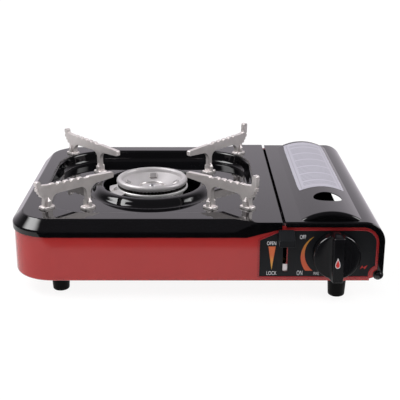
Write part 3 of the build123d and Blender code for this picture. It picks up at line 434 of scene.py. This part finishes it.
class Rule:
    """A geometry-node tree with named inputs, built in this script."""

    def __init__(self, name):
        self.tree = bpy.data.node_groups.new(name, "GeometryNodeTree")
        self.sockets = {}
        self.source = self.tree.nodes.new("NodeGroupInput")
        self.add_input("Geometry", "NodeSocketGeometry")
        self.tree.interface.new_socket("Geometry", in_out="OUTPUT", socket_type="NodeSocketGeometry")

    def add_input(self, name, kind):
        self.sockets[name] = self.tree.interface.new_socket(name, in_out="INPUT", socket_type=kind)

    def value(self, name):
        return self.source.outputs[name]

    def node(self, kind, inputs=None, **settings):
        return node(self.tree, kind, inputs, **settings)

    def maths(self, operation, first, second=0.0):
        return maths(self.tree, operation, first, second)

    def xyz(self, x=0.0, y=0.0, z=0.0):
        return self.node("ShaderNodeCombineXYZ", {0: x, 1: y, 2: z}).outputs[0]

    def repeat(self, form):
        """Sets the form on each point, turned by Turn and coated with Finish, which this adds as inputs."""
        self.add_input("Turn", "NodeSocketVector")
        self.add_input("Finish", "NodeSocketMaterial")
        spots = self.node("GeometryNodeMeshToPoints", {"Mesh": self.value("Geometry")}).outputs[0]
        turn = self.node("FunctionNodeEulerToRotation", {0: self.value("Turn")}).outputs[0]
        many = self.node("GeometryNodeInstanceOnPoints", {"Points": spots, "Instance": form, "Rotation": turn})
        real = self.node("GeometryNodeRealizeInstances", {"Geometry": many.outputs[0]}).outputs[0]
        coat = self.node("GeometryNodeSetMaterial", {"Geometry": real, "Material": self.value("Finish")}).outputs[0]
        out = self.tree.nodes.new("NodeGroupOutput")
        self.tree.links.new(coat, out.inputs[0])

    def run(self, name, points, values):
        """Runs the tree on loose points, in metres, and returns a plain mesh."""
        start = bpy.data.meshes.new(name + "_points")
        start.from_pydata(points, [], [])
        holder = bpy.data.objects.new(name + "_rule", start)
        bpy.context.scene.collection.objects.link(holder)
        rule = holder.modifiers.new("rule", "NODES")
        rule.node_group = self.tree
        for key, value in values.items():
            rule[self.sockets[key].identifier] = value
        bpy.context.view_layer.update()
        mesh = bpy.data.meshes.new_from_object(holder.evaluated_get(bpy.context.evaluated_depsgraph_get()))
        holder.modifiers.remove(rule)
        bpy.data.objects.remove(holder)
        return mesh


def screw_rule():
    """A domed screw head with a cross recess and its shank, one on each point."""
    rule = Rule("cross_screw")
    for name in ("Head Radius", "Head Height", "Shank Radius", "Shank Length"):
        rule.add_input(name, "NodeSocketFloat")
    wide, high = rule.value("Head Radius"), rule.value("Head Height")
    ball = rule.node("GeometryNodeMeshUVSphere", {"Segments": 28, "Rings": 12, "Radius": 1.0}).outputs[0]
    place = split(rule.tree, rule.node("GeometryNodeInputPosition").outputs[0])
    fullness, arm_reach, arm_width = 0.7, 1.15, 0.24
    lifted = rule.maths("MAXIMUM", place["Z"], 0.0)
    dome = rule.maths("MULTIPLY", rule.maths("POWER", lifted, fullness), high)
    put_at = rule.xyz(rule.maths("MULTIPLY", place["X"], wide), rule.maths("MULTIPLY", place["Y"], wide), dome)
    head = rule.node("GeometryNodeSetPosition", {"Geometry": ball, "Position": put_at}).outputs[0]
    long, slim = rule.maths("MULTIPLY", wide, arm_reach), rule.maths("MULTIPLY", wide, arm_width)
    arms = []
    for size in (rule.xyz(long, slim, high), rule.xyz(slim, long, high)):
        arm = rule.node("GeometryNodeMeshCube", {"Size": size}).outputs[0]
        arms.append(rule.node("GeometryNodeTransform", {"Geometry": arm, "Translation": rule.xyz(z=high)}).outputs[0])
    cut = rule.node("GeometryNodeMeshBoolean", {"Mesh 1": head}, operation="DIFFERENCE")
    for arm in arms:
        rule.tree.links.new(arm, cut.inputs["Mesh 2"])
    length = rule.value("Shank Length")
    shank = rule.node("GeometryNodeMeshCylinder",
                      {"Vertices": 20, "Radius": rule.value("Shank Radius"), "Depth": length}).outputs["Mesh"]
    down = rule.xyz(z=rule.maths("MULTIPLY", length, -0.5))
    low = rule.node("GeometryNodeTransform", {"Geometry": shank, "Translation": down})
    whole = rule.node("GeometryNodeJoinGeometry")
    rule.tree.links.new(cut.outputs["Mesh"], whole.inputs[0])
    rule.tree.links.new(low.outputs[0], whole.inputs[0])
    rule.repeat(whole.outputs[0])
    return rule


def lip_rule():
    """A rolled lip round a slot, one on each point."""
    corner_share = 0.3
    rule = Rule("slot_lip")
    for name in ("Width", "Height", "Roll"):
        rule.add_input(name, "NodeSocketFloat")
    frame_line = rule.node("GeometryNodeCurvePrimitiveQuadrilateral",
                           {"Width": rule.value("Width"), "Height": rule.value("Height")}).outputs[0]
    corner = rule.maths("MULTIPLY", rule.value("Width"), corner_share)
    soft = rule.node("GeometryNodeFilletCurve", {"Curve": frame_line, "Count": 3, "Limit Radius": True,
                                                 "Radius": corner}, mode="POLY").outputs[0]
    roll = rule.node("GeometryNodeCurvePrimitiveCircle", {"Resolution": 8, "Radius": rule.value("Roll")}).outputs[0]
    lip = rule.node("GeometryNodeCurveToMesh", {"Curve": soft, "Profile Curve": roll}).outputs[0]
    rule.repeat(lip)
    return rule


def loose_parts(name):
    """Lowest and highest corners of each separate solid in a CAD node."""
    shape = bmesh.new()
    shape.from_mesh(NODES[name].data)
    bmesh.ops.remove_doubles(shape, verts=shape.verts, dist=WELD)
    left = set(shape.verts)
    boxes = []
    while left:
        stack = [left.pop()]
        seen = []
        while stack:
            vert = stack.pop()
            seen.append(vert.co.copy())
            for edge in vert.link_edges:
                other = edge.other_vert(vert)
                if other in left:
                    left.discard(other)
                    stack.append(other)
        boxes.append(tuple(Vector([pick(v[k] for v in seen) for k in range(3)]) for pick in (min, max)))
    shape.free()
    return boxes


def screws(name, axis, sign, head, high, shank):
    """Cross-recess screws in place of a CAD node's plain ones. axis and sign say which way the heads look."""
    slot = SLOT_OF[name]
    boxes = loose_parts(name)
    points = []
    for low, top in boxes:
        spot = (low + top) / 2
        spot[axis] = (top[axis] - high) if sign > 0 else (low[axis] + high)
        points.append(spot)
    length = max(top[axis] - low[axis] for low, top in boxes) - high
    turn = {(1, 1): (-pi / 2, 0.0, 0.0), (2, 1): (0.0, 0.0, pi / 5), (2, -1): (pi, 0.0, 0.0)}[(axis, sign)]
    mesh = SCREW_RULE.run(name + "_cross", points, {
        "Head Radius": head, "Head Height": high, "Shank Radius": shank, "Shank Length": length,
        "Turn": turn, "Finish": FINISH[slot]})
    shade(mesh, 35.0)
    add_piece(name + "_cross", mesh, "stove", slot, [name])


SCREW_RULE = screw_rule()
LIP_RULE = lip_rule()
screws("plate_screws", 1, 1, 2.4 * MM, 1.4 * MM, 1.0 * MM)
screws("burner_screw", 2, 1, 3.8 * MM, 2.0 * MM, 1.9 * MM)
screws("foot_screws", 2, -1, 3.9 * MM, 2.4 * MM, 1.9 * MM)


def vent_lips():
    """Rolled lips round the air slots in the rear and left walls."""
    rise, pitch, sunk = 20.0 * MM, 15 * MM, 0.15 * MM
    z = SHELL_LOW.z + rise
    rear = [(BURNER.x + k * pitch, SHELL_HIGH.y - sunk, z) for k in range(-4, 5)]
    left = [(SHELL_LOW.x + sunk, BURNER.y + k * pitch, z) for k in range(-3, 4)]
    for name, points, turn in (("rear_vent_lips", rear, (pi / 2, 0.0, 0.0)),
                               ("left_vent_lips", left, (pi / 2, 0.0, pi / 2))):
        mesh = LIP_RULE.run(name, points, {"Width": 4.7 * MM, "Height": 12.3 * MM, "Roll": 0.45 * MM,
                                           "Turn": turn, "Finish": FINISH["red_paint"]})
        shade(mesh, 60.0)
        add_piece(name, mesh, "stove", "red_paint")


vent_lips()


# Printed marks on the control panel.

WHITE_INK = printed("white_ink", (0.62, 0.62, 0.64), (0.58, 0.58, 0.60))
FLAME_INK = printed("flame_ink", (0.36, 0.20, 0.012), (0.46, 0.075, 0.026), 0.042, 0.062)
ARROW_INK = printed("arrow_ink", (0.50, 0.105, 0.030), (0.56, 0.36, 0.06), 0.029, 0.044)
SPARK_INK = printed("spark_ink", (0.34, 0.012, 0.010), (0.34, 0.012, 0.010))
DARK_INK = printed("dark_ink", (0.002, 0.002, 0.002), (0.002, 0.002, 0.002))
DROP_RED = printed("drop_red", (0.50, 0.018, 0.012), (0.42, 0.012, 0.010))


def panel_marks():
    """The arrow, scale, spark, dash and words on the control panel. Places are x and z in millimetres."""
    flat_mark("lock_arrow", [[(66.3, 52.5), (69.7, 29.8), (72.9, 52.5)]], PANEL_Y, ARROW_INK, "stove")
    outer = arc_through((107.2, 62.0), (96.0, 42.2), (100.6, 28.7), 25)
    inner = arc_through((107.6, 62.0), (99.5, 44.4), (107.3, 28.7), 25)
    flat_mark("flame_scale", swept_mark(inner, outer), PANEL_Y, FLAME_INK, "stove")
    spark = [(150.6, 30.0), (152.6, 33.9), (153.9, 31.9), (157.6, 34.4), (155.2, 30.0), (153.6, 32.0)]
    flat_mark("spark_mark", [spark[:3] + spark[5:], spark[2:]], PANEL_Y, SPARK_INK, "stove")
    dash = [(157.6, 45.5), (160.6, 45.5), (161.0, 46.2), (160.6, 46.9), (157.6, 46.9), (157.2, 46.2)]
    flat_mark("catch_dash", [dash], PANEL_Y, DARK_INK, "stove")
    for name, text, place in (("word_open", "OPEN", (64.9, 53.9, 8.4, 3.5)),
                              ("word_lock", "LOCK", (65.2, 24.4, 9.2, 3.7)),
                              ("word_off", "OFF", (94.6, 59.8, 5.6, 3.9)),
                              ("word_on", "ON", (92.9, 24.3, 5.2, 4.4)),
                              ("word_max", "MAX", (108.5, 24.4, 4.9, 3.0))):
        word(name, text, place, PANEL_Y, WHITE_INK, "stove")


panel_marks()


def lid_label():
    """A blank film label that lies on the arch of the lid."""
    shape = bmesh.new()
    shape.from_mesh(NODES["lid"].data)
    skin = BVHTree.FromBMesh(shape)
    shape.free()
    left_in, right_in, front_in, rear_in = 70.7 * MM, 25.7 * MM, 80.9 * MM, 19.6 * MM
    x0, x1 = LID_HIGH.x - left_in, LID_HIGH.x - right_in
    y0, y1 = LID_LOW.y + front_in, LID_HIGH.y - rear_in
    corner_in, lift, above = 0.72 * MM, 0.09 * MM, 20 * MM
    across, along = 28, 12
    film = bmesh.new()
    rows = []
    for j in range(along + 1):
        y = y0 + (y1 - y0) * j / along
        rows.append([film.verts.new((x0 + (x1 - x0) * i / across, y, 0.0)) for i in range(across + 1)])
    for j in range(along):
        for i in range(across):
            film.faces.new((rows[j][i], rows[j][i + 1], rows[j + 1][i + 1], rows[j + 1][i]))
    for vert in film.verts:
        at_x = min(vert.co.x - x0, x1 - vert.co.x)
        at_y = min(vert.co.y - y0, y1 - vert.co.y)
        if at_x < WELD and at_y < WELD:
            vert.co.x += corner_in * (1 if vert.co.x < (x0 + x1) / 2 else -1)
            vert.co.y += corner_in * (1 if vert.co.y < (y0 + y1) / 2 else -1)
        hit = skin.ray_cast(Vector((vert.co.x, vert.co.y, LID_HIGH.z + above)), Vector((0, 0, -1)))[0]
        vert.co.z = hit.z + lift
    mesh = bpy.data.meshes.new("lid_label")
    film.to_mesh(mesh)
    film.free()
    mesh.materials.append(ruled_film("label_film", (x0 + x1) / 2, y0, y1, (x1 - x0) / 2))
    for face in mesh.polygons:
        face.use_smooth = True
    add_piece("lid_label", mesh, "lid")


def drop_outline(cx, z_low, z_tip, half, count=30):
    """A flame-shaped drop, round below and pointed at the top."""
    fuller, point = 1.3, 1.6
    points = []
    for k in range(count):
        a = 2 * pi * k / count
        x = cx + half * fuller * sin(a) * sin(a / 2) ** point
        points.append((x, z_tip - (z_tip - z_low) * (1 - cos(a)) / 2))
    return points


POINTER_FACE = KNOB_LOW.y + 0.1 * MM


def knob_drop():
    """The printed drop on the pointer: a white edge with red inside."""
    x, rise = 126.7, 0.03
    flat_mark("drop_edge", [drop_outline(x, 39.5, 49.6, 2.5)], POINTER_FACE, WHITE_INK, "knob", rise)
    flat_mark("drop_fill", [drop_outline(x, 40.2, 48.2, 1.95)], POINTER_FACE - rise * MM, DROP_RED, "knob", rise)


def moulded_knob():
    """The knob, with its pointer's face set back for the printed drop, and a mirror-gloss copy of its plastic on the
    upper edges as painted highlight.
    """
    least_forward, most_forward, least_upward = 0.2, 0.97, 0.05
    mesh = NODES["knob"].data.copy()
    shape = bmesh.new()
    shape.from_mesh(mesh)
    bmesh.ops.remove_doubles(shape, verts=shape.verts, dist=WELD)
    for vert in shape.verts:
        vert.co.y = max(vert.co.y, POINTER_FACE)
    shape.to_mesh(mesh)
    shape.free()
    mesh.materials.clear()
    mesh.materials.append(FINISH["black_plastic"])
    # Painted highlight: only the upward-looking edge faces take this glossier copy of the black plastic.
    mesh.materials.append(coated("highlight_edge", (0.004, 0.004, 0.0048), (0.006, 0.006, 0.007), 0.025, 0.05, 5e-7,
                                 Specular_IOR_Level=1.0))
    for face in mesh.polygons:
        if least_forward < -face.normal.y < most_forward and face.normal.z > least_upward:
            face.material_index = 1
    shade(mesh)
    add_piece("knob_moulding", mesh, "knob", "black_plastic", ["knob"])


def slot_catch():
    """The pale catch behind the lower end of the lever's slot, and the red liner along its right side."""
    behind = -121.2 * MM
    nylon = coated("catch_nylon", (0.70, 0.66, 0.68), (0.78, 0.74, 0.76), 0.35, 0.45, 4e-6)
    catch = [(77.6, 34.6), (85.8, 34.6), (85.8, 26.6), (81.4, 26.6), (77.6, 31.6)]
    flat_mark("slot_catch", [catch], behind, nylon, "stove", rise=0.7)
    liner = [(82.7, 34.9), (85.8, 34.9), (85.8, 56.0), (82.7, 56.0),
             (82.7, 54.6), (83.3, 54.0), (83.3, 36.2), (82.7, 35.6)]
    flat_mark("slot_liner", [liner], behind, FINISH["red_paint"], "stove", rise=0.5)


def pin_dome():
    """The domed end of the front hinge pin."""
    low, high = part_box("hinge_pin_front")
    middle = (low + high) / 2
    inset = 0.05 * MM
    radius = (high.x - low.x) / 2 - inset
    profile = [(1.0, 0.10), (0.99, -0.08), (0.93, -0.24), (0.80, -0.38), (0.60, -0.48), (0.36, -0.54), (0.14, -0.56)]
    turns = 40
    shape = bmesh.new()
    rings = []
    circle = [(cos(2 * pi * k / turns) * radius, sin(2 * pi * k / turns) * radius) for k in range(turns)]
    for share, out in profile:
        y = low.y + out * radius
        rings.append([shape.verts.new((middle.x + share * x, y, middle.z + share * z)) for x, z in circle])
    for here, after in zip(rings, rings[1:]):
        for k in range(turns):
            n = (k + 1) % turns
            shape.faces.new((here[k], here[n], after[n], after[k]))
    shape.faces.new(rings[0])
    shape.faces.new(rings[-1])
    mesh = closed_mesh("pin_dome", shape, FINISH["black_pin"])
    shade(mesh, 50.0)
    add_piece("pin_dome", mesh, "stove", "black_pin")


def gap_shade_strip():
    """A black rubber strip on the plate's edge, as painted shade: it fills most of the gap to the lid with black, with
    a lip over the tray's wall.
    """
    under_rim, end_in = 2.6 * MM, 8 * MM
    over_wall, behind_front, apart = 0.05 * MM, 1.1 * MM, 0.02 * MM
    x, top = PLATE_HIGH.x, PLATE_HIGH.z - under_rim
    y0, y1 = PLATE_LOW.y + end_in, PLATE_HIGH.y - end_in
    profile = [(x, top - 5.2 * MM), (x + 1.7 * MM, top - 5.2 * MM), (x + 1.9 * MM, top - 4.2 * MM),
               (x + 1.9 * MM, top - 0.9 * MM), (x + 1.6 * MM, top - 0.3 * MM), (x + 1.0 * MM, top), (x, top)]
    wall = SHELL_HIGH.z + over_wall
    lip = [(x, wall), (x + 2.3 * MM, wall), (x + 2.3 * MM, top - 0.5 * MM), (x + 1.9 * MM, top - 0.1 * MM),
           (x + 1.2 * MM, top), (x, top)]
    shape = bmesh.new()
    for outline, front, back in ((profile, y0, y1), (lip, SHELL_LOW.y + behind_front, y0 - apart)):
        ends = [[shape.verts.new((px, y, pz)) for px, pz in outline] for y in (front, back)]
        add_prism(shape, *ends)
    # Painted shade: a black strip where the gap to the lid is in shade.
    add_piece("gap_shade_strip", closed_mesh("gap_shade_strip", shape, FINISH["black_rubber"]), "stove", "black_rubber")


lid_label()
gap_shade_strip()
moulded_knob()
knob_drop()
slot_catch()
pin_dome()


# Stage: floor, lights, world and camera.

def flat_sheet(name, left, right, front, back, z):
    mesh = bpy.data.meshes.new(name)
    mesh.from_pydata([(left, front, z), (right, front, z), (right, back, z), (left, back, z)], [], [(0, 1, 2, 3)])
    sheet = bpy.data.objects.new(name, mesh)
    bpy.context.scene.collection.objects.link(sheet)
    return sheet


def make_floor():
    """White paper that the camera sees as pure white, but for the stove's soft shadow."""
    reach, own_white = 4.0, 0.88
    floor = flat_sheet("floor", -reach, reach, -reach, reach, 0)
    material, tree, shader, where = start_finish("floor_paper", Roughness=0.9, Specular_IOR_Level=0.0)
    tone = spread(tree, noise(tree, where, 3.0), 0.0, 1.0)
    tree.links.new(mix_colour(tree, tone, (0.93, 0.93, 0.93), (0.95, 0.95, 0.95)), shader.inputs["Base Color"])
    seen = node(tree, "ShaderNodeLightPath").outputs["Is Camera Ray"]
    away = node(tree, "ShaderNodeVectorMath", {0: where}, operation="LENGTH").outputs["Value"]
    white = spread(tree, away, low=1.03, high=1.15, from_low=0.5, from_high=1.8)
    paper = node(tree, "ShaderNodeEmission", {"Color": (1, 1, 1, 1), "Strength": white}).outputs[0]
    share = maths(tree, "MULTIPLY", seen, own_white)
    mixed = node(tree, "ShaderNodeMixShader", {0: share, 1: shader.outputs["BSDF"], 2: paper})
    tree.links.new(mixed.outputs[0], tree.nodes["Material Output"].inputs["Surface"])
    floor.data.materials.append(material)
    floor.visible_glossy = False


def make_sheet():
    """The white sheet just round the stove, seen only in its gloss. Beyond it the room is dark."""
    sheet = flat_sheet("white_sheet", left=-0.60, right=0.185, front=-0.25, back=0.25, z=0.6 * MM)
    material, tree, _, where = start_finish("sheet_paper")
    tone = spread(tree, noise(tree, where, 3.0), 0.84, 0.88)
    paper = node(tree, "ShaderNodeEmission", {"Color": (1.0, 1.0, 1.0, 1.0), "Strength": tone}).outputs[0]
    tree.links.new(paper, tree.nodes["Material Output"].inputs["Surface"])
    sheet.data.materials.append(material)
    sheet.visible_camera = False
    sheet.visible_diffuse = False
    sheet.visible_shadow = False


def softbox(name, place, aim, size, power, seen_in_gloss=True):
    """An area lamp that fades toward its edges."""
    lamp = bpy.data.lights.new(name, "AREA")
    lamp.shape = "RECTANGLE"
    lamp.size, lamp.size_y = size
    lamp.energy = power
    obj = bpy.data.objects.new(name, lamp)
    obj.location = place
    obj.rotation_euler = (Vector(aim) - Vector(place)).to_track_quat("-Z", "Y").to_euler()
    obj.visible_camera = False
    obj.visible_glossy = seen_in_gloss
    bpy.context.scene.collection.objects.link(obj)
    lamp.use_nodes = True
    tree = lamp.node_tree
    part = split(tree, node(tree, "ShaderNodeNewGeometry").outputs["Parametric"])
    middle_level, fade_until = 1.5, 0.2
    level = middle_level
    for share in (part["X"], part["Y"]):
        edge = maths(tree, "MULTIPLY", share, maths(tree, "SUBTRACT", 1.0, share))
        soft = node(tree, "ShaderNodeMapRange", {"Value": edge, "From Min": 0.0, "From Max": fade_until},
                    interpolation_type="SMOOTHSTEP").outputs["Result"]
        level = maths(tree, "MULTIPLY", level, soft)
    tree.links.new(level, tree.nodes["Emission"].inputs["Strength"])


def make_world():
    """White to the camera. In the gloss it is dark, a little lighter above, and pale behind the stove."""
    dark_below, dark_above, pale_behind, room_level = 0.015, 0.13, 0.78, 0.42
    world = bpy.data.worlds.new("studio")
    world.use_nodes = True
    tree = world.node_tree
    tree.nodes.clear()
    out = node(tree, "ShaderNodeOutputWorld")
    path = node(tree, "ShaderNodeLightPath").outputs
    direction = node(tree, "ShaderNodeTexCoord").outputs["Generated"]
    toward = split(tree, direction)
    back = node(tree, "ShaderNodeMapRange", {"Value": toward["Y"], "From Min": 0.35, "From Max": 0.92},
                interpolation_type="SMOOTHSTEP").outputs["Result"]
    above = node(tree, "ShaderNodeMapRange", {"Value": toward["Z"], "From Min": -0.25, "From Max": 0.7,
                                              "To Min": dark_below, "To Max": dark_above}).outputs["Result"]
    bright = node(tree, "ShaderNodeMix", {0: back, 2: above, 3: pale_behind}, data_type="FLOAT").outputs[0]
    seen = maths(tree, "MAXIMUM", path["Is Glossy Ray"], path["Is Transmission Ray"])
    ambient = node(tree, "ShaderNodeMix", {0: seen, 2: room_level, 3: bright}, data_type="FLOAT")
    level = node(tree, "ShaderNodeMix", {0: path["Is Camera Ray"], 2: ambient.outputs[0], 3: 1.0}, data_type="FLOAT")
    tint = mix_colour(tree, seen, (1.0, 1.0, 1.0), (0.985, 0.92, 1.0))
    sky = node(tree, "ShaderNodeBackground", {"Color": tint, "Strength": level.outputs[0]})
    tree.links.new(sky.outputs[0], out.inputs["Surface"])
    bpy.context.scene.world = world


def make_camera():
    """The camera fitted to the photograph."""
    data = bpy.data.cameras.new("photo_camera")
    data.sensor_width = 36.0
    data.lens = 78.767
    data.shift_x = 0.01115
    data.shift_y = 0.0015
    camera = bpy.data.objects.new("photo_camera", data)
    camera.location = (0.0, -0.8632, 0.34866)
    camera.rotation_euler = (radians(90 - 18.8165), 0, 0)
    bpy.context.scene.collection.objects.link(camera)
    bpy.context.scene.camera = camera


make_floor()
make_sheet()
softbox("left_box", (-1.02, 0.02, 1.2), (0, 0, 0.07), (1.0, 0.95), 18.5)
softbox("right_box", (1.2, -0.05, 0.85), (0, 0, 0.07), (0.9, 0.8), 9)
softbox("front_fill", (0.0, -1.0, 1.7), (0, 0, 0.05), (1.6, 0.9), 15, seen_in_gloss=False)
make_world()
make_camera()
bpy.context.scene.view_settings.view_transform = "Standard"
